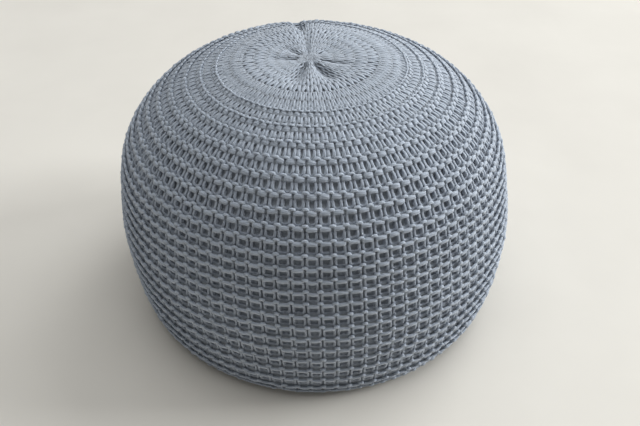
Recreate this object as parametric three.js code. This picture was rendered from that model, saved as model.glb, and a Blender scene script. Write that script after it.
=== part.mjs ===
// A round knitted pouf: one filled cover, ridged round its side and gathered to a point on top.
// Millimetres, +Z up. The origin is the middle of the flat base, and the front faces -Y.
import * as THREE from 'three';

// Overall size, over the ridges.
const WIDEST_RADIUS = 250;
const HEIGHT = 322;

// Outline over the ridge crests, from the gathered point outwards and down to the base.
// Radius is a share of WIDEST_RADIUS, height a share of HEIGHT.
const OUTLINE = [
  { place: 'gathered point', radius: 0, height: 0.997 },
  { place: 'inner top', radius: 0.12, height: 0.998 },
  { place: 'top crown', radius: 0.28, height: 1 },
  { place: 'first ridge', radius: 0.456, height: 0.977 },
  { place: 'shoulder', radius: 0.731, height: 0.88 },
  { place: 'upper side', radius: 0.91, height: 0.72 },
  { place: 'middle of the side', radius: 0.981, height: 0.5 },
  { place: 'widest', radius: 1, height: 0.366 },
  { place: 'low side', radius: 0.968, height: 0.093 },
  { place: 'turn under', radius: 0.924, height: 0.016 },
  { place: 'base edge', radius: 0.84, height: 0 },
];

// Purl ridges round the side. They lie wider apart near the top and the base than half way down.
const RIDGE_COUNT = 23;
const FIRST_RIDGE_AT = 113; // along the outline from the gathered point
const RIDGE_PITCH = 16.9; // mean distance between two crests
const RIDGE_PITCH_SWING = 2.8;
const RIDGE_PITCH_CYCLE = 20; // ridges from one wide place to the next
const RIDGE_DEPTH = 6;
const RIDGE_HALF_WIDTH = 0.26; // share of the pitch from crest to foot
const RIM_SINK_POWER = 6; // how late the plain top sinks to the foot of the first ridge

// Folds of the gathered top. Angles run anticlockwise from +X, seen from above.
// The depth grows up to the start and fades again up to the reach. A lip has a depth below zero.
const PLEATS = [
  { place: 'crease to the back rim', angle: 97, halfWidth: 8, depth: 2, start: 16, reach: 160 },
  { place: 'notch in the back rim', angle: 99, halfWidth: 3.6, depth: 11, start: 120, reach: 200 },
  { place: 'raised lip beside the notch', angle: 88, halfWidth: 8, depth: -2.5, start: 120, reach: 170 },
  { place: 'deep fold at the front right', angle: -64, halfWidth: 10, depth: 6.5, start: 16, reach: 72 },
  { place: 'fold at the right', angle: -20, halfWidth: 7, depth: 2, start: 16, reach: 68 },
  { place: 'fold at the front left', angle: -107, halfWidth: 10, depth: 6.5, start: 16, reach: 75 },
  { place: 'fold at the left', angle: 184, halfWidth: 10, depth: 2.6, start: 16, reach: 62 },
  { place: 'fold at the back left', angle: 140, halfWidth: 10, depth: 2.4, start: 16, reach: 50 },
  { place: 'fold at the back right', angle: 45, halfWidth: 9, depth: 2, start: 16, reach: 55 },
];
const PLEAT_RISE = 0.6; // share of the start that stays level
const PLEAT_FADE = 0.45; // share of the reach that keeps the whole depth

// Fineness of the solid.
const COLUMNS = 60;
const TOP_ROWS = 8;

const COVER_COLOUR = 0x959ca6;

const outline = new THREE.CatmullRomCurve3(
  OUTLINE.map(({ radius, height }) => new THREE.Vector3(radius * WIDEST_RADIUS, 0, height * HEIGHT)),
  false,
  'centripetal',
);
outline.arcLengthDivisions = 2000;
const outlineLength = outline.getLength();

// The point at a length along the outline, sunk into the cover by a depth.
function sectionPoint(length, sink) {
  const share = length / outlineLength;
  const point = outline.getPointAt(share);
  const tangent = outline.getTangentAt(share);
  return { radius: point.x + tangent.z * sink, height: point.z - tangent.x * sink };
}

// Rows of the section: the top, then a foot, a crest and a foot for each ridge, and the base edge.
function sectionRows() {
  const rows = [];
  const firstFoot = FIRST_RIDGE_AT - RIDGE_HALF_WIDTH * (RIDGE_PITCH + RIDGE_PITCH_SWING);
  for (let row = 1; row <= TOP_ROWS; row += 1) {
    const share = row / (TOP_ROWS + 1);
    rows.push(sectionPoint(share * firstFoot, RIDGE_DEPTH * share ** RIM_SINK_POWER));
  }
  let crest = FIRST_RIDGE_AT;
  for (let ridge = 0; ridge < RIDGE_COUNT; ridge += 1) {
    const turn = (2 * Math.PI * ridge) / RIDGE_PITCH_CYCLE;
    const pitch = RIDGE_PITCH + RIDGE_PITCH_SWING * Math.cos(turn);
    rows.push(sectionPoint(crest - RIDGE_HALF_WIDTH * pitch, RIDGE_DEPTH));
    rows.push(sectionPoint(crest, 0));
    rows.push(sectionPoint(crest + RIDGE_HALF_WIDTH * pitch, RIDGE_DEPTH));
    crest += pitch;
  }
  rows.push(sectionPoint(outlineLength, 0));
  return rows;
}

// How far the gathered folds lower the top at a radius and an angle.
function pleatDrop(radius, angle) {
  let drop = 0;
  for (const pleat of PLEATS) {
    const off = Math.abs(angle - pleat.angle) % 360;
    const across = Math.min(off, 360 - off) / pleat.halfWidth;
    const fadeIn = THREE.MathUtils.smoothstep(radius, PLEAT_RISE * pleat.start, pleat.start);
    const fadeOut = 1 - THREE.MathUtils.smoothstep(radius, PLEAT_FADE * pleat.reach, pleat.reach);
    drop += pleat.depth * Math.exp(-across * across) * fadeIn * fadeOut;
  }
  return drop;
}

// One closed skin: a fan at the gathered point, a grid of rows and columns, and a fan under the base.
function coverGeometry() {
  const rows = sectionRows();
  const top = sectionPoint(0, 0);
  const positions = [0, 0, top.height];
  for (const { radius, height } of rows) {
    for (let column = 0; column < COLUMNS; column += 1) {
      const angle = (360 * column) / COLUMNS;
      const turn = THREE.MathUtils.degToRad(angle);
      positions.push(radius * Math.cos(turn), radius * Math.sin(turn), height - pleatDrop(radius, angle));
    }
  }
  positions.push(0, 0, 0);

  const baseMiddle = 1 + rows.length * COLUMNS;
  const vertex = (row, column) => 1 + row * COLUMNS + (column % COLUMNS);
  const faces = [];
  for (let column = 0; column < COLUMNS; column += 1) {
    faces.push(0, vertex(0, column), vertex(0, column + 1));
    for (let row = 0; row + 1 < rows.length; row += 1) {
      faces.push(vertex(row, column), vertex(row + 1, column), vertex(row + 1, column + 1));
      faces.push(vertex(row, column), vertex(row + 1, column + 1), vertex(row, column + 1));
    }
    faces.push(baseMiddle, vertex(rows.length - 1, column + 1), vertex(rows.length - 1, column));
  }

  const geometry = new THREE.BufferGeometry();
  geometry.setAttribute('position', new THREE.Float32BufferAttribute(positions, 3));
  geometry.setIndex(faces);
  geometry.computeVertexNormals();
  return geometry;
}

const knit = new THREE.MeshStandardMaterial({ color: COVER_COLOUR, roughness: 0.95, metalness: 0 });
const cover = new THREE.Mesh(coverGeometry(), knit);
cover.name = 'pouf_cover';

const pouf = new THREE.Group();
pouf.add(cover);

export default pouf;
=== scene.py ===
import math
from collections import namedtuple

import bpy
import numpy as np
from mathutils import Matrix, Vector


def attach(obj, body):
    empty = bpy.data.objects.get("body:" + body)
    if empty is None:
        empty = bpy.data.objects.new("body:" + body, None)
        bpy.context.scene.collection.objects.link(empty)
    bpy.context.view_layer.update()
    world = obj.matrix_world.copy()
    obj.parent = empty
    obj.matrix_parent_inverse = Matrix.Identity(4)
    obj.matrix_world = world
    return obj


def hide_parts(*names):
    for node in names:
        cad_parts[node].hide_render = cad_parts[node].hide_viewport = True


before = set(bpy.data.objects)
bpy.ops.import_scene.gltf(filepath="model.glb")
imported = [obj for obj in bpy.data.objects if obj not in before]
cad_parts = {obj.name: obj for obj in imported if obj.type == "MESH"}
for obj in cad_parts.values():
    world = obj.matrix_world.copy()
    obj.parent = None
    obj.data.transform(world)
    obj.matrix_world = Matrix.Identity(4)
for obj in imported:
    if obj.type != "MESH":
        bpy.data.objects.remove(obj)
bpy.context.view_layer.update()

# Overall size over the ridges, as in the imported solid. Metres, +Z up, the front faces -Y.
MM = 0.001
WIDEST_RADIUS = 250 * MM
HEIGHT = 322 * MM

# Outline over the ridge crests, from the gathered point outwards and down to the base edge.
# Radius is a share of WIDEST_RADIUS, height a share of HEIGHT.
Station = namedtuple("Station", "place radius height")
OUTLINE = (
    Station("gathered point", 0, 0.997),
    Station("inner top", 0.12, 0.998),
    Station("top crown", 0.28, 1),
    Station("first ridge", 0.456, 0.977),
    Station("shoulder", 0.731, 0.88),
    Station("upper side", 0.91, 0.72),
    Station("middle of the side", 0.981, 0.5),
    Station("widest", 1, 0.366),
    Station("low side", 0.968, 0.093),
    Station("turn under", 0.924, 0.016),
    Station("base edge", 0.84, 0),
)
OUTLINE_STEPS = 200  # from one station to the next

# The filled cover leans a little: its foot stands to the right of its top. The shift fades with height.
LEAN = 4 * MM
LEAN_FROM = 60 * MM
LEAN_TO = 220 * MM

# The gathered point lies a little to the left of the middle, and the top is drawn along up to the reach.
GATHER_LEFT = 4 * MM
GATHER_REACH = 200 * MM

# Purl ridges, as lengths along the outline. They lie wider apart near the top and the base than half
# way down. The plain top sinks by RIM_SINK at the first ridge, and hardly at all nearer the middle.
SIDE_RIDGES = 24
SIDE_PIECE_RIDGES = 6  # ridges in each piece of the side
BASE_RIDGES = 6
FIRST_RIDGE_AT = 113 * MM
RIDGE_PITCH = 16.9 * MM
RIDGE_PITCH_SWING = 2.8 * MM
RIDGE_PITCH_CYCLE = 20  # ridges from one wide place to the next
RIM_SINK = 2.6 * MM
RIM_SINK_POWER = 6

# Folds of the gathered top. Angles in degrees, anticlockwise from +X, seen from above.
# The depth grows up to the start and fades again up to the reach. A lip has a depth below zero.
Pleat = namedtuple("Pleat", "place angle half_width depth start reach")
PLEATS = (
    Pleat("crease to the back rim", 97, 8, 2 * MM, 16 * MM, 160 * MM),
    Pleat("notch in the back rim", 99, 2.6, 11 * MM, 120 * MM, 200 * MM),
    Pleat("raised lip beside the notch", 88, 8, -2.5 * MM, 120 * MM, 170 * MM),
    Pleat("deep fold at the front right", -64, 10, 6.5 * MM, 16 * MM, 72 * MM),
    Pleat("fold at the right", -20, 7, 2 * MM, 16 * MM, 68 * MM),
    Pleat("fold at the front left", -107, 10, 6.5 * MM, 16 * MM, 75 * MM),
    Pleat("fold at the left", 184, 10, 2.6 * MM, 16 * MM, 62 * MM),
    Pleat("fold at the back left", 140, 10, 2.4 * MM, 16 * MM, 50 * MM),
    Pleat("fold at the back right", 45, 9, 2 * MM, 16 * MM, 55 * MM),
)
PLEAT_RISE = 0.6  # share of the start that stays level
PLEAT_FADE = 0.45  # share of the reach that keeps the whole depth

# Stitches. A wale is one column of loops. The side and the top are knitted upwards, so the head of every
# loop there is its upper end. Loops change with the width of the wale, from narrow to wide.
WALES = 100
NARROW_WALE = 7 * MM
WIDE_WALE = 15.7 * MM

# Half the yarn's thickness, out of the cover. In a wale narrower than FULL_YARN_WALE the yarn is
# squeezed smaller, and LEAST_YARN is the share that would be left in a wale of no width.
HALF_THICKNESS_NARROW = 0.8 * MM
HALF_THICKNESS_WIDE = 2.1 * MM
HALF_THICKNESS_PLAIN = 0.8 * MM
FULL_YARN_WALE = 9.1 * MM
LEAST_YARN = 0.114

# How unevenly the loops are drawn: across as a share of a wale, along as a share of the reach, out of
# the cover, and as a share of the yarn's width.
SEED = 7
WOBBLE_ACROSS = 0.016
WOBBLE_ALONG = 0.022
WOBBLE_OUT = 0.28 * MM
WOBBLE_WIDTH = 0.07

# Half a loop of each kind, from the middle of its head to the middle of the sinker beside it, where
# a wale is NARROW_WALE wide and where it is WIDE_WALE wide. Across is a share of the wale, from the
# loop's middle, and along is a share of the round's reach. Depth is how far the yarn's front lies behind
# the outline, and width is half the yarn's width. Tilt, in degrees, turns the yarn's lower edge inwards,
# and where level is 1 the yarn is cut square to the round and not square to its own way.
Knot = namedtuple("Knot", "across along depth width tilt level", defaults=(0, 0))
KNIT_NARROW = (
    Knot(0, -0.1, -0.2 * MM, 1.9 * MM, -12),
    Knot(0.24, -0.1, -0.15 * MM, 1.9 * MM, -12),
    Knot(0.4, -0.065, 0.4 * MM, 1.7 * MM),
    Knot(0.36, 0.06, 2.4 * MM, 1.5 * MM),
    Knot(0.27, 0.2, 2.6 * MM, 1.6 * MM),
    Knot(0.19, 0.38, 1.7 * MM, 1.95 * MM),
    Knot(0.165, 0.62, 1.3 * MM, 2.4 * MM),
    Knot(0.5, 0.84, 3.2 * MM, 1.5 * MM),
)
KNIT_WIDE = (
    Knot(0, -0.1, 0.1 * MM, 1.75 * MM),
    Knot(0.095, -0.075, 0.3 * MM, 1.75 * MM),
    Knot(0.14, 0.04, 1.5 * MM, 1.6 * MM),
    Knot(0.14, 0.26, 3.2 * MM, 1.5 * MM),
    Knot(0.115, 0.56, 3.5 * MM, 1.5 * MM),
    Knot(0.14, 0.8, 3.9 * MM, 1.7 * MM),
    Knot(0.25, 0.92, 5.0 * MM, 2.1 * MM),
    Knot(0.5, 0.95, 6.0 * MM, 2.6 * MM),
)
PURL_NARROW = (
    Knot(0, -0.57, 2.8 * MM, 1.8 * MM),
    Knot(0.19, -0.55, 2.5 * MM, 1.8 * MM),
    Knot(0.35, -0.48, 2.0 * MM, 1.9 * MM),
    Knot(0.385, -0.37, 1.6 * MM, 2.1 * MM),
    Knot(0.29, -0.21, 1.5 * MM, 2.2 * MM),
    Knot(0.19, -0.07, 1.5 * MM, 1.8 * MM),
    Knot(0.2, 0.04, 2.4 * MM, 1.4 * MM),
    Knot(0.12, 0.15, 2.4 * MM, 3.4 * MM, 18, 1),
    Knot(0.165, 0.15, 1.9 * MM, 4.0 * MM, 20, 1),
    Knot(0.5, 0.15, 1.7 * MM, 4.1 * MM, 20, 1),
)
PURL_WIDE = (
    Knot(0, -0.58, 6.0 * MM, 2.2 * MM),
    Knot(0.13, -0.55, 6.0 * MM, 1.9 * MM),
    Knot(0.17, -0.45, 6.0 * MM, 1.6 * MM),
    Knot(0.17, -0.32, 6.0 * MM, 1.6 * MM),
    Knot(0.15, -0.18, 5.2 * MM, 1.6 * MM),
    Knot(0.11, -0.07, 4.2 * MM, 1.7 * MM),
    Knot(0.15, 0.05, 3.0 * MM, 1.5 * MM),
    Knot(0.095, 0.115, 1.1 * MM, 1.9 * MM, 10, 1),
    Knot(0.15, 0.12, 0.5 * MM, 2.1 * MM, 10, 1),
    Knot(0.5, 0.12, 0.35 * MM, 2.1 * MM, 10, 1),
)
PLAIN = (
    Knot(0, 1.03, 1.2 * MM, 2.2 * MM),
    Knot(0.22, 0.99, 1.0 * MM, 2.2 * MM),
    Knot(0.35, 0.84, 0.5 * MM, 2.4 * MM),
    Knot(0.33, 0.68, 0.2 * MM, 2.45 * MM),
    Knot(0.27, 0.5, 0, 2.45 * MM),
    Knot(0.18, 0.3, 0.1 * MM, 2.4 * MM),
    Knot(0.2, 0.14, 0.5 * MM, 2.2 * MM),
    Knot(0.5, 0.02, 1.4 * MM, 2.0 * MM),
)
OPEN = (
    *PLAIN[:4],
    Knot(0.27, 0.5, 0, 2.4 * MM),
    Knot(0.18, 0.3, 0.2 * MM, 1.8 * MM),
    Knot(0.2, 0.14, 0.6 * MM, 1.5 * MM),
    Knot(0.5, 0.02, 1.4 * MM, 1.5 * MM),
)

# Plain rounds of the top, from the first ridge in to the gathered point, with the places of their
# sinkers and heads along the outline. Where the loops first become fewer, the round is open and shows
# a row of small holes.
PlainRound = namedtuple("PlainRound", "loop wales sinker head")
PLAIN_ROUNDS = (
    PlainRound(PLAIN, 100, 109 * MM, 92 * MM),
    PlainRound(PLAIN, 100, 96 * MM, 79 * MM),
    PlainRound(OPEN, 50, 83 * MM, 63 * MM),
    PlainRound(PLAIN, 50, 68 * MM, 49 * MM),
    PlainRound(PLAIN, 50, 54 * MM, 37 * MM),
    PlainRound(PLAIN, 50, 41.5 * MM, 25.5 * MM),
    PlainRound(PLAIN, 25, 29.5 * MM, 14 * MM),
    PlainRound(PLAIN, 25, 17.5 * MM, 4 * MM),
    PlainRound(PLAIN, 6, 6.5 * MM, 0.5 * MM),
)

# Corners of the yarn's section, in degrees round it from one edge over its front to the other edge
# and behind, and how many of a half loop's knots the base keeps.
FINE_SECTION = (-10, 50, 130, 190, 270)
BASE_SECTION = (0, 90, 180, 270)
BASE_KNOTS = 5

# Corners of a face of yarn, in order: 1 is the next ring along the yarn, and the next corner round it.
FACE_CORNERS = ((0, 0), (0, 1), (1, 1), (1, 0))

# The map for baking: how many times longer than high a loop's cell is, and the part of it left free.
BAKE_CELL_LENGTH = 2.5
BAKE_MARGIN = 0.06

# The filled body lies this deep behind the outline. Behind the side it swells out at each ridge, and
# INNER_SWELL_AT is how far below the crest it swells most, as a share of the pitch. Behind the plain top
# it dips under the row of holes.
INNER_DEPTH_NARROW = 4.2 * MM
INNER_DEPTH_WIDE = 7.8 * MM
INNER_SWELL_NARROW = 1.4 * MM
INNER_SWELL_WIDE = 2.6 * MM
INNER_SWELL_AT = 0.06
INNER_DEPTH_PLAIN = 2.0 * MM
INNER_DEPTH_POLES = 2.1 * MM
INNER_DIP = 2.5 * MM
INNER_DIP_AT = 78 * MM
INNER_DIP_HALF = 4 * MM  # half the dip's width
INNER_COLUMNS = 80
INNER_ROWS_A_RIDGE = 7
INNER_END_ROWS = 22

# Yarn: twisted plies, each of which moves on to its neighbour's place in a PLY_STEP, with fibres along
# them and soft patches. Tones are shares of the way from the dark grey to the light one.
YARN_DARK = (0.27, 0.3, 0.345)
YARN_LIGHT = (0.46, 0.505, 0.57)
PLIES = 8
PLY_STEP = 22.5 * MM
# Painted shade: the grooves between plies are darker than the crests by this share of the tones.
PLY_GROOVE_SHADE = 0.4
FIBRES_ACROSS = 2.2  # patches of noise to the yarn's radius
FIBRE_LENGTH = 3.5 * MM
FIBRE_DETAIL = 4
FIBRE_TONE = 0.6
PATCH_SIZE = 25 * MM
PATCH_DETAIL = 2
PATCH_TONE = 0.6
YARN_ROUGHNESS = (0.78, 0.98)
YARN_SOFTNESS = 0.55  # share of the light that goes into the yarn
YARN_SOFT_DEPTH = 2.5 * MM
YARN_SOFT_COLOURS = (1, 1, 1)  # red, green and blue light go in alike
YARN_SHEEN = 0.12
YARN_SHEEN_ROUGHNESS = 0.45
YARN_BUMP = 0.6 * MM
YARN_BUMP_STRENGTH = 0.5
PLY_BUMP = 0.7
FIBRE_BUMP = 0.5

# Painted shade: yarn that lies deep behind the outline is made a little darker, as it would be in
# shadow.
NO_SHADE = (1, 1, 1)
PAINTED_SHADE = (0.8, 0.8, 0.82)
SHADE_FROM = 2.5 * MM
SHADE_TO = 7 * MM

# The filled body's surface behind the yarn.
INNER_DARK = (0.25, 0.273, 0.303)
INNER_LIGHT = (0.38, 0.41, 0.45)
INNER_GRAIN = 2.5 * MM
INNER_DETAIL = 3
INNER_ROUGHNESS = (0.85, 1.0)
INNER_BUMP = 1.2 * MM
INNER_BUMP_STRENGTH = 0.7

# The plain floor.
FLOOR_HALF = 6  # from its middle to a side
FLOOR_DARK = (0.67, 0.63, 0.565)
FLOOR_LIGHT = (0.75, 0.71, 0.64)
FLOOR_PATCHES = 6  # to a metre
FLOOR_DETAIL = 4
FLOOR_ROUGHNESS = (0.8, 0.95)

# Camera: the picture is 640 by 426, and the lens is 700 of its pixels long.
PICTURE_WIDTH = 640
LENS_PIXELS = 700
SENSOR_WIDTH = 36  # in millimetres, as the camera takes it
CAMERA_BACK = 740 * MM
CAMERA_UP = 688.5 * MM
CAMERA_RIGHT = 8.1 * MM
CAMERA_PITCH = 38.93  # degrees below level

# Light: soft squares that all face the pouf, with their power in watts, and a weak light from all round.
Lamp = namedtuple("Lamp", "name place size power")
LAMPS = (
    Lamp("ceiling", (0, 0.6, 7.0), 7.0, 270),
    Lamp("back window", (5.2, 4.8, 6.8), 6.0, 400),
    Lamp("side window", (7.6, 1.2, 2.6), 3.2, 570),
    Lamp("front light", (0, -8.0, 4.8), 6.0, 45),
)
LIGHT_AIM = Vector((0, 0, 0.15))
LIGHT_COLOUR = (0.955, 0.99, 1.02)
ROOM_COLOUR = (1, 1, 1, 1)
ROOM_STRENGTH = 0.17


def smoothstep(value, low, high):
    share = np.clip((value - low) / (high - low), 0, 1)
    return share * share * (3 - 2 * share)


def mix(low, high, share):
    return low + (high - low) * share


def outline_curve():
    """Radius and height at close steps along the outline, then in along the flat base to its middle."""
    size = (WIDEST_RADIUS, HEIGHT)
    points = np.array([(station.radius, station.height) for station in OUTLINE]) * size
    longer = np.vstack([2 * points[0] - points[1], points, 2 * points[-1] - points[-2]])
    share = np.linspace(0, 1, OUTLINE_STEPS, endpoint=False)[:, None]
    pieces = []
    for before, start, end, after in zip(longer, longer[1:], longer[2:], longer[3:]):
        lead = math.sqrt(np.linalg.norm(start - before))
        span = math.sqrt(np.linalg.norm(end - start))
        tail = math.sqrt(np.linalg.norm(after - end))
        leave = (start - before) / lead - (end - before) / (lead + span) + (end - start) / span
        arrive = (end - start) / span - (after - start) / (span + tail) + (after - end) / tail
        leave, arrive = leave * span, arrive * span
        bend = 3 * (end - start) - 2 * leave - arrive
        twist = 2 * (start - end) + leave + arrive
        pieces.append(start + leave * share + bend * share**2 + twist * share**3)
    base = np.linspace(points[-1], (0, 0), OUTLINE_STEPS)
    return np.vstack([*pieces, base])


def ridge_places():
    """Lengths along the outline of all the ridges, with one more place past the last."""
    places = [FIRST_RIDGE_AT]
    for ridge in range(SIDE_RIDGES + BASE_RIDGES):
        turn = 2 * math.pi * ridge / RIDGE_PITCH_CYCLE
        places.append(places[-1] + RIDGE_PITCH + RIDGE_PITCH_SWING * math.cos(turn))
    return places


CURVE = outline_curve()
STEP = np.gradient(CURVE, axis=0)
STEP /= np.linalg.norm(STEP, axis=1)[:, None]
ARC = np.concatenate([[0], np.cumsum(np.linalg.norm(np.diff(CURVE, axis=0), axis=1))])
ARC_END = ARC[-1]
RIDGES = ridge_places()


def pleat_drop(radius, turn):
    """How far the gathered folds lower the top at a radius and an angle."""
    drop = np.zeros_like(radius)
    for pleat in PLEATS:
        off = np.angle(np.exp(1j * (turn - math.radians(pleat.angle))))
        across = off / math.radians(pleat.half_width)
        fade_in = smoothstep(radius, PLEAT_RISE * pleat.start, pleat.start)
        fade_out = 1 - smoothstep(radius, PLEAT_FADE * pleat.reach, pleat.reach)
        drop += pleat.depth * np.exp(-across**2) * fade_in * fade_out
    return drop


def on_cover(along, turn, out):
    """Points at a length along the outline, an angle round it and a distance out of it."""
    tangent_r = np.interp(along, ARC, STEP[:, 0])
    tangent_z = np.interp(along, ARC, STEP[:, 1])
    ring = np.interp(along, ARC, CURVE[:, 0])
    radius = ring - tangent_z * out
    height = np.interp(along, ARC, CURVE[:, 1]) + tangent_r * out
    top = along < ARC_END / 2
    height = height - np.where(top, pleat_drop(ring, turn), 0)
    shift = LEAN * (1 - smoothstep(height, LEAN_FROM, LEAN_TO))
    shift = shift - np.where(top, GATHER_LEFT * (1 - smoothstep(ring, 0, GATHER_REACH)), 0)
    return np.stack([radius * np.cos(turn) + shift, radius * np.sin(turn), height], -1)


def outward(along, turn):
    """Unit vectors out of the cover."""
    tangent_r = np.interp(along, ARC, STEP[:, 0])
    tangent_z = np.interp(along, ARC, STEP[:, 1])
    return np.stack([-tangent_z * np.cos(turn), -tangent_z * np.sin(turn), tangent_r], -1)


def wale_width(along, wales):
    """The width of one column of loops."""
    return 2 * math.pi * np.interp(along, ARC, CURVE[:, 0]) / wales


def wideness(wale):
    """0 where a wale is narrow, 1 where it is wide."""
    return np.clip((wale - NARROW_WALE) / (WIDE_WALE - NARROW_WALE), 0, 1)


def squeeze(along, wales):
    """The share of the yarn's full size that it keeps between its neighbours."""
    return np.minimum(mix(LEAST_YARN, 1, wale_width(along, wales) / FULL_YARN_WALE), 1)


def rim_share(along):
    """0 in the middle of the top, 1 at the first ridge."""
    return np.clip(along / FIRST_RIDGE_AT, 0, 1) ** RIM_SINK_POWER


# A closed round of loops: its half loops for narrow and wide wales, how many loops it has, where it
# starts along the outline, how far it reaches from there, half its yarn's thickness, and how far it
# sinks at the rim of the plain top.
Round = namedtuple("Round", "narrow wide wales at reach half_thickness rim_sink", defaults=(0,))


def top_rounds():
    """The plain rounds of the top, which sink towards the first ridge."""
    rounds = []
    for loop, wales, sinker, head in PLAIN_ROUNDS:
        rounds.append(Round(loop, loop, wales, sinker, head - sinker, HALF_THICKNESS_PLAIN, RIM_SINK))
    return rounds


def ridge_rounds(first, last):
    """The knit round that ends in each ridge and the purl round that starts in it."""
    rounds = []
    for ridge in range(first, last):
        place = RIDGES[ridge]
        above = place - RIDGES[ridge - 1] if ridge else RIDGE_PITCH + RIDGE_PITCH_SWING
        below = RIDGES[ridge + 1] - place
        wide = wideness(wale_width(place, WALES))
        half_thickness = mix(HALF_THICKNESS_NARROW, HALF_THICKNESS_WIDE, wide)
        rounds.append(Round(KNIT_NARROW, KNIT_WIDE, WALES, place, below, half_thickness))
        rounds.append(Round(PURL_NARROW, PURL_WIDE, WALES, place, above, half_thickness))
    return rounds


def coarser(each):
    """The same round with fewer knots to a loop."""
    kept = np.linspace(0, len(each.narrow) - 1, BASE_KNOTS).round().astype(int)
    narrow, wide = ([half[knot] for knot in kept] for half in (each.narrow, each.wide))
    return each._replace(narrow=narrow, wide=wide)


def base_rounds():
    """The ridges under the edge, and plain rounds like those of the top in to the middle of the base."""
    rounds = ridge_rounds(SIDE_RIDGES, SIDE_RIDGES + BASE_RIDGES)
    for loop, wales, sinker, head in PLAIN_ROUNDS:
        rounds.append(Round(loop, loop, wales, ARC_END - sinker, sinker - head, HALF_THICKNESS_PLAIN))
    return [coarser(each) for each in rounds]


def whole_loop(each):
    """The columns of a round's knots over one loop, from one sinker to the next."""
    share = wideness(wale_width(each.at, each.wales))
    right = mix(np.array(each.narrow), np.array(each.wide), share)
    left = right[:0:-1] * (-1, 1, 1, 1, 1, 1)
    return np.vstack([left, right[:-1]]).T


def yarn_path(each, random):
    """The yarn's way through a round, knot after knot, with its size, tilt and level there."""
    across, along, depth, width, tilt, level = whole_loop(each)
    # Each head and each sinker is drawn a little out of place, and the yarn between them follows.
    heads, sinkers = random.normal(0, 1, (2, 4, each.wales, 1))
    beside = np.where(across < 0, sinkers, np.roll(sinkers, -1, 1))
    head_share = np.cos(math.pi * across) ** 2
    sideways, lengthways, outwards, wider = heads * head_share + beside * (1 - head_share)
    middles = np.arange(each.wales)[:, None] + 0.5
    turn = (middles + across + WOBBLE_ACROSS * sideways) * 2 * math.pi / each.wales
    place = each.at + along * each.reach + WOBBLE_ALONG * lengthways * abs(each.reach)
    thin = squeeze(place, each.wales)
    out = WOBBLE_OUT * thin * outwards - (each.half_thickness + depth) * thin
    out = out - each.rim_sink * rim_share(place)
    half_width = width * (1 + WOBBLE_WIDTH * wider) * thin
    half_thickness = each.half_thickness * thin
    path = np.broadcast_arrays(turn, place, out, half_width, half_thickness, np.radians(tilt), level)
    return [array.ravel() for array in path]


def strand(each, section, random):
    """One closed round of loops: rings of corners, the lengths between them, and how deep they lie."""
    turn, place, out, half_width, half_thickness, tilt, level = yarn_path(each, random)
    tilt, level = tilt[:, None], level[:, None]
    centre = on_cover(place, turn, out)
    normal = outward(place, turn)
    ahead = np.roll(centre, -1, 0)
    tangent = ahead - np.roll(centre, 1, 0)
    tangent /= np.linalg.norm(tangent, axis=1)[:, None]
    along_round = np.stack([-np.sin(turn), np.cos(turn), np.zeros_like(turn)], -1)
    tangent = mix(tangent, along_round, level)
    side = np.cross(tangent, normal)
    side /= np.linalg.norm(side, axis=1)[:, None]
    up = np.cross(side, tangent)
    side, up = side * np.cos(tilt) - up * np.sin(tilt), up * np.cos(tilt) + side * np.sin(tilt)
    angle = np.radians(section)[:, None]
    side_reach = (side * half_width[:, None])[:, None] * np.cos(angle)
    spoke = side_reach + (up * half_thickness[:, None])[:, None] * np.sin(angle)
    rings = centre[:, None] + spoke
    # Yarn that would go into the floor is pressed flat on it.
    rings[..., 2] = np.maximum(rings[..., 2], 0)
    length = np.linalg.norm(ahead - centre, axis=1)
    sunk = -out[:, None] - np.einsum("rsk,rk->rs", spoke, normal)
    return rings, length, sunk


def round_faces(count, sides, first):
    """Faces between the rings of one closed round, whose corners are numbered from first."""
    ring = np.arange(count)[:, None]
    edge = np.arange(sides)
    corners = []
    for ahead, beside in FACE_CORNERS:
        corners.append(first + (ring + ahead) % count * sides + (edge + beside) % sides)
    return np.stack(corners, -1).reshape(-1, 4)


def yarn_cells(length, sides):
    """Corners of a round's faces in the map of the yarn: the share round it and the length along it."""
    edge = np.arange(sides)
    ends = np.cumsum(length)
    starts = ends - length
    corners = []
    for ahead, beside in FACE_CORNERS:
        along = ends if ahead else starts
        corners.append(np.stack(np.broadcast_arrays((edge + beside) / sides, along[:, None]), -1))
    return np.stack(corners, -2).reshape(-1, 2)


def bake_cells(wales, segments, sides, first, total):
    """Corners of a round's faces in the map for baking, where each loop has a cell of its own."""
    columns = math.ceil(math.sqrt(total / BAKE_CELL_LENGTH))
    rows = math.ceil(total / columns)
    loop = first + np.arange(wales)[:, None, None]
    cell = np.stack([loop % columns, loop // columns], -1)
    along = np.arange(segments)[None, :, None]
    around = np.arange(sides)[None, None, :]
    corners = []
    for ahead, beside in FACE_CORNERS:
        spot = np.stack(np.broadcast_arrays((along + ahead) / segments, (around + beside) / sides), -1)
        corners.append((cell + BAKE_MARGIN + (1 - 2 * BAKE_MARGIN) * spot) / (columns, rows))
    return np.stack(corners, -2).reshape(-1, 2)


def add_mesh(name, vertices, faces, material):
    """A new object with one smooth mesh."""
    mesh = bpy.data.meshes.new(name)
    mesh.from_pydata(vertices, [], faces)
    mesh.shade_smooth()
    mesh.materials.append(material)
    piece = bpy.data.objects.new(name, mesh)
    bpy.context.scene.collection.objects.link(piece)
    return piece


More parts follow.
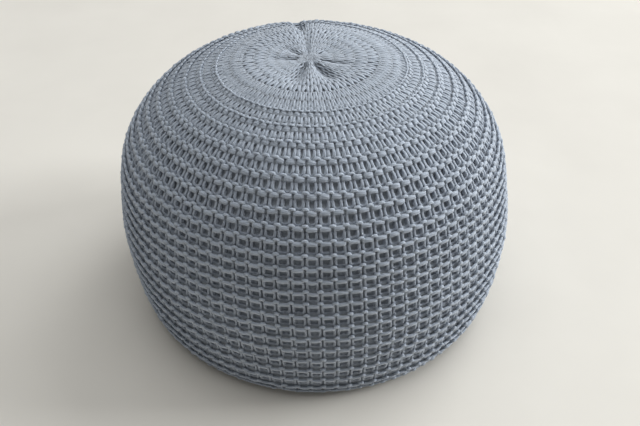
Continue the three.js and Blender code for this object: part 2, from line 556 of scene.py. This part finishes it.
def knit_piece(name, rounds, section, material):
    """One mesh of closed rounds of yarn."""
    random = np.random.default_rng(SEED)
    sides = len(section)
    total = sum(each.wales for each in rounds)
    vertices, faces, yarn_map, bake_map, sunken = [], [], [], [], []
    first = loops = 0
    for each in rounds:
        rings, length, sunk = strand(each, section, random)
        count = len(rings)
        vertices.append(rings.reshape(-1, 3))
        faces.append(round_faces(count, sides, first))
        yarn_map.append(yarn_cells(length, sides))
        bake_map.append(bake_cells(each.wales, count // each.wales, sides, loops, total))
        sunken.append(sunk.ravel())
        first += count * sides
        loops += each.wales
    piece = add_mesh(name, np.vstack(vertices), np.vstack(faces), material)
    for map_name, corners in (("yarn", yarn_map), ("OFBake", bake_map)):
        layer = piece.data.uv_layers.new(name=map_name)
        layer.uv.foreach_set("vector", np.vstack(corners).astype(np.float32).ravel())
    # How deep each corner lies behind the outline, which sets the painted shade of deep yarn.
    depth_layer = piece.data.attributes.new("sunk", "FLOAT", "POINT")
    depth_layer.data.foreach_set("value", np.concatenate(sunken).astype(np.float32))
    return piece


def inner_depth(place):
    """How deep the filled body lies behind the outline."""
    ridge = np.interp(place, RIDGES, np.arange(len(RIDGES)))
    wide = wideness(wale_width(place, WALES))
    mean = mix(INNER_DEPTH_NARROW, INNER_DEPTH_WIDE, wide)
    swell = mix(INNER_SWELL_NARROW, INNER_SWELL_WIDE, wide)
    depth = (mean - swell * np.cos(2 * math.pi * (ridge - INNER_SWELL_AT))) * squeeze(place, WALES)
    plain = INNER_DEPTH_PLAIN + RIM_SINK * rim_share(place)
    plain += INNER_DIP * np.exp(-(((place - INNER_DIP_AT) / INNER_DIP_HALF) ** 2))
    return np.where(place < FIRST_RIDGE_AT, plain, depth)


def inner_body(name, material):
    """The filled body behind the yarn: rows and columns, with a fan at each pole."""
    columns = INNER_COLUMNS
    places = [np.linspace(0, RIDGES[0], INNER_END_ROWS)[1:-1]]
    for ridge, below in zip(RIDGES, RIDGES[1:]):
        places.append(np.linspace(ridge, below, INNER_ROWS_A_RIDGE, endpoint=False))
    places.append(np.linspace(RIDGES[-1], ARC_END, INNER_END_ROWS)[:-1])
    places = np.concatenate(places)
    turn = np.arange(columns) * 2 * math.pi / columns
    grid_place, grid_turn = np.meshgrid(places, turn, indexing="ij")
    rings = on_cover(grid_place, grid_turn, -inner_depth(grid_place)).reshape(-1, 3)
    poles = on_cover(np.array([0, ARC_END]), np.zeros(2), np.full(2, -INNER_DEPTH_POLES))
    top, bottom = len(rings), len(rings) + 1
    last = (len(places) - 1) * columns
    faces = []
    for column in range(columns):
        beside = (column + 1) % columns
        faces.append((top, column, beside))
        for here in range(0, last, columns):
            below = here + columns
            faces.append((here + column, below + column, below + beside, here + beside))
        faces.append((bottom, last + beside, last + column))
    return add_mesh(name, np.vstack([rings, poles]), faces, material)


class Nodes:
    """A new material, with short ways to add and link its nodes."""

    def __init__(self, name):
        self.material = bpy.data.materials.new(name)
        self.material.use_nodes = True
        self.tree = self.material.node_tree
        self.shader = self.tree.nodes["Principled BSDF"]

    def link(self, source, socket):
        self.tree.links.new(source, socket)

    def put(self, socket, value):
        """Links a socket, or sets a plain value."""
        if isinstance(value, bpy.types.NodeSocket):
            self.link(value, socket)
        else:
            socket.default_value = value

    def shade(self, values):
        """Links or sets sockets of the shader, by their names."""
        for name, value in values.items():
            self.put(self.shader.inputs[name], value)

    def work_out(self, operation, first, second=0.0, clamp=False):
        node = self.tree.nodes.new("ShaderNodeMath")
        node.operation = operation
        node.use_clamp = clamp
        self.put(node.inputs[0], first)
        self.put(node.inputs[1], second)
        return node.outputs[0]

    def plus(self, first, second):
        return self.work_out("ADD", first, second)

    def scaled(self, value, factor):
        return self.work_out("MULTIPLY", value, factor)

    def spread(self, factor, low, high):
        """A number between two, by a factor from 0 to 1."""
        return self.plus(self.scaled(factor, high - low), low)

    def noise(self, vector, scale, detail):
        """Noise between about 0 and 1, at a scale in patches to a unit of the vector."""
        node = self.tree.nodes.new("ShaderNodeTexNoise")
        self.link(vector, node.inputs["Vector"])
        node.inputs["Scale"].default_value = scale
        node.inputs["Detail"].default_value = detail
        return node.outputs["Fac"]

    def object_place(self):
        return self.tree.nodes.new("ShaderNodeTexCoord").outputs["Object"]

    def between(self, factor, low, high):
        """A colour between two, by a factor from 0 to 1."""
        node = self.tree.nodes.new("ShaderNodeValToRGB")
        self.link(factor, node.inputs["Fac"])
        for element, colour in zip(node.color_ramp.elements, (low, high)):
            element.color = (*colour, 1)
        return node.outputs["Color"]

    def times(self, first, second):
        """The product of two colours."""
        node = self.tree.nodes.new("ShaderNodeVectorMath")
        node.operation = "MULTIPLY"
        self.link(first, node.inputs[0])
        self.link(second, node.inputs[1])
        return node.outputs["Vector"]

    def bump(self, height, distance, strength):
        node = self.tree.nodes.new("ShaderNodeBump")
        node.inputs["Strength"].default_value = strength
        node.inputs["Distance"].default_value = distance
        self.link(height, node.inputs["Height"])
        return node.outputs["Normal"]


def yarn_place(nodes):
    """The share round the yarn and the length along it, from the map of the yarn."""
    yarn_map = nodes.tree.nodes.new("ShaderNodeUVMap")
    yarn_map.uv_map = "yarn"
    split = nodes.tree.nodes.new("ShaderNodeSeparateXYZ")
    nodes.link(yarn_map.outputs["UV"], split.inputs["Vector"])
    return split.outputs["X"], split.outputs["Y"]


def ply_pattern(nodes, around, along):
    """0 between two plies, 1 on the crest of a ply."""
    plies = nodes.plus(nodes.scaled(around, PLIES), nodes.work_out("DIVIDE", along, PLY_STEP))
    return nodes.work_out("ABSOLUTE", nodes.work_out("SINE", nodes.scaled(plies, math.pi)))


def fibre_pattern(nodes, around, along):
    """Noise that is drawn out along the yarn and closes round it."""
    angle = nodes.scaled(around, 2 * math.pi)
    skin = nodes.tree.nodes.new("ShaderNodeCombineXYZ")
    nodes.put(skin.inputs["X"], nodes.scaled(nodes.work_out("COSINE", angle), FIBRES_ACROSS))
    nodes.put(skin.inputs["Y"], nodes.scaled(nodes.work_out("SINE", angle), FIBRES_ACROSS))
    nodes.put(skin.inputs["Z"], nodes.work_out("DIVIDE", along, FIBRE_LENGTH))
    return nodes.noise(skin.outputs["Vector"], 1, FIBRE_DETAIL)


def painted_depth_shade(nodes):
    """Painted shade: the colour that darkens the yarn where it lies deep behind the outline."""
    sunk = nodes.tree.nodes.new("ShaderNodeAttribute")
    sunk.attribute_name = "sunk"
    share = nodes.tree.nodes.new("ShaderNodeMapRange")
    nodes.put(share.inputs["Value"], sunk.outputs["Fac"])
    nodes.put(share.inputs["From Min"], SHADE_FROM)
    nodes.put(share.inputs["From Max"], SHADE_TO)
    return nodes.between(share.outputs["Result"], NO_SHADE, PAINTED_SHADE)


def yarn_material():
    """Soft plied yarn: twisted plies, fine fibres along them and slight lighter and darker patches, with
    painted shade in the grooves between plies and on yarn that lies deep.
    """
    nodes = Nodes("grey_yarn")
    around, along = yarn_place(nodes)
    ply = ply_pattern(nodes, around, along)
    fibre = fibre_pattern(nodes, around, along)
    patch = nodes.noise(nodes.object_place(), 1 / PATCH_SIZE, PATCH_DETAIL)
    patch_tone = nodes.spread(patch, -PATCH_TONE / 2, PATCH_TONE / 2)
    # The ply term is painted shade in the grooves between plies. The fibre and patch terms are the
    # yarn's own uneven tone.
    tone = nodes.plus(nodes.scaled(ply, PLY_GROOVE_SHADE), nodes.scaled(fibre, FIBRE_TONE))
    tone = nodes.work_out("ADD", tone, patch_tone, clamp=True)
    height = nodes.plus(nodes.scaled(ply, PLY_BUMP), nodes.scaled(fibre, FIBRE_BUMP))
    nodes.shade({
        # The yarn's tones, times the painted shade of yarn that lies deep.
        "Base Color": nodes.times(nodes.between(tone, YARN_DARK, YARN_LIGHT), painted_depth_shade(nodes)),
        "Roughness": nodes.spread(fibre, *YARN_ROUGHNESS),
        "Subsurface Weight": YARN_SOFTNESS,
        "Subsurface Radius": YARN_SOFT_COLOURS,
        "Subsurface Scale": YARN_SOFT_DEPTH,
        "Sheen Weight": YARN_SHEEN,
        "Sheen Roughness": YARN_SHEEN_ROUGHNESS,
        "Normal": nodes.bump(height, YARN_BUMP, YARN_BUMP_STRENGTH),
    })
    return nodes.material


def inner_material():
    """The filled body's fine, uneven grey, a little darker than the yarn."""
    nodes = Nodes("inner_grey")
    grain = nodes.noise(nodes.object_place(), 1 / INNER_GRAIN, INNER_DETAIL)
    nodes.shade({
        "Base Color": nodes.between(grain, INNER_DARK, INNER_LIGHT),
        "Roughness": nodes.spread(grain, *INNER_ROUGHNESS),
        "Normal": nodes.bump(grain, INNER_BUMP, INNER_BUMP_STRENGTH),
    })
    return nodes.material


def floor_material():
    nodes = Nodes("pale_floor")
    grain = nodes.noise(nodes.object_place(), FLOOR_PATCHES, FLOOR_DETAIL)
    nodes.shade({
        "Base Color": nodes.between(grain, FLOOR_DARK, FLOOR_LIGHT),
        "Roughness": nodes.spread(grain, *FLOOR_ROUGHNESS),
    })
    return nodes.material


def add_floor():
    corners = [(x * FLOOR_HALF, y * FLOOR_HALF, 0) for x, y in ((-1, -1), (1, -1), (1, 1), (-1, 1))]
    floor = add_mesh("floor", corners, [(0, 1, 2, 3)], floor_material())


def add_camera():
    data = bpy.data.cameras.new("camera")
    data.sensor_width = SENSOR_WIDTH
    data.lens = LENS_PIXELS / PICTURE_WIDTH * SENSOR_WIDTH
    camera = bpy.data.objects.new("camera", data)
    camera.location = (CAMERA_RIGHT, -CAMERA_BACK, CAMERA_UP)
    camera.rotation_euler = (math.radians(90 - CAMERA_PITCH), 0, 0)
    bpy.context.scene.collection.objects.link(camera)
    bpy.context.scene.camera = camera


def add_lights():
    """Windows at the back right and the right, the ceiling, a weak light in front and the room's own."""
    for lamp in LAMPS:
        data = bpy.data.lights.new(lamp.name, "AREA")
        data.size = lamp.size
        data.energy = lamp.power
        data.color = LIGHT_COLOUR
        light = bpy.data.objects.new(lamp.name, data)
        light.location = lamp.place
        light.rotation_euler = (LIGHT_AIM - light.location).to_track_quat("-Z", "Y").to_euler()
        bpy.context.scene.collection.objects.link(light)
    world = bpy.data.worlds.new("soft_room")
    world.use_nodes = True
    background = world.node_tree.nodes["Background"]
    background.inputs["Color"].default_value = ROOM_COLOUR
    background.inputs["Strength"].default_value = ROOM_STRENGTH
    bpy.context.scene.world = world


bpy.context.scene.view_settings.view_transform = "Standard"
add_camera()
add_floor()
add_lights()

yarn = yarn_material()
pieces = [knit_piece("top_knit", top_rounds(), FINE_SECTION, yarn)]
for number, first in enumerate(range(0, SIDE_RIDGES, SIDE_PIECE_RIDGES), 1):
    rounds = ridge_rounds(first, first + SIDE_PIECE_RIDGES)
    pieces.append(knit_piece(f"side_knit_{number}", rounds, FINE_SECTION, yarn))
pieces.append(knit_piece("base_knit", base_rounds(), BASE_SECTION, yarn))

body = inner_body("filled_body", inner_material())
pieces.append(body)

for piece in pieces:
    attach(piece, "root")
    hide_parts("pouf_cover")
